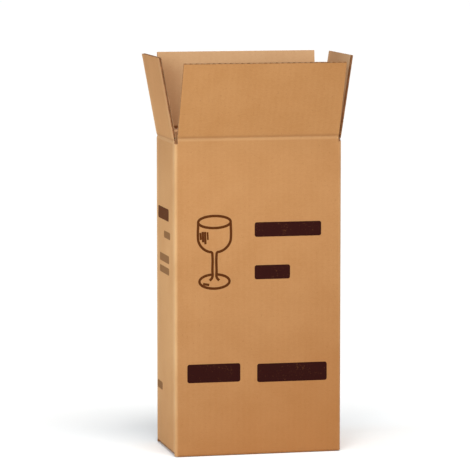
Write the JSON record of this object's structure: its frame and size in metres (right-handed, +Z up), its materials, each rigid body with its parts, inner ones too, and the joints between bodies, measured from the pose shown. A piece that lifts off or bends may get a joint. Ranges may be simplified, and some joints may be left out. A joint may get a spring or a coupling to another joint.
{
  "type": "shipping box",
  "caption": "Tall kraft corrugated carton for shipping bottles, slotted at the corners, with long top flaps that swing on their creases and a glued flat bottom.",
  "frame": {"origin": "centre of the carton's four walls, on the floor under the bottom flaps", "axes": "+Z up, +X to the right seen from the printed front, -Y out of the front wall"},
  "size_m": [0.2231, 0.1503, 0.4506],
  "materials": {
    "kraft_board": "matt brown kraft liner"
  },
  "bodies": {
    "carton": {"carton_body": "kraft_board"},
    "front_flap": {"front_flap": "kraft_board"},
    "back_flap": {"back_flap": "kraft_board"},
    "left_flap": {"left_flap": "kraft_board"},
    "right_flap": {"right_flap": "kraft_board"}
  },
  "joints": [
    {"name": "front_fold", "type": "hinge", "parent": "carton", "child": "front_flap", "pos_m": [0, -0.0514, 0.36], "axis": [1, 0, 0], "range_deg": [-112.5, 127.5]},
    {"name": "back_fold", "type": "hinge", "parent": "carton", "child": "back_flap", "pos_m": [0, 0.0514, 0.3632], "axis": [-1, 0, 0], "range_deg": [-97.5, 142.5]},
    {"name": "left_fold", "type": "hinge", "parent": "carton", "child": "left_flap", "pos_m": [-0.0954, 0, 0.3568], "axis": [0, -1, 0], "range_deg": [-100.5, 139.5]},
    {"name": "right_fold", "type": "hinge", "parent": "carton", "child": "right_flap", "pos_m": [0.0954, 0, 0.3568], "axis": [0, 1, 0], "range_deg": [-98.5, 141.5]}
  ]
}
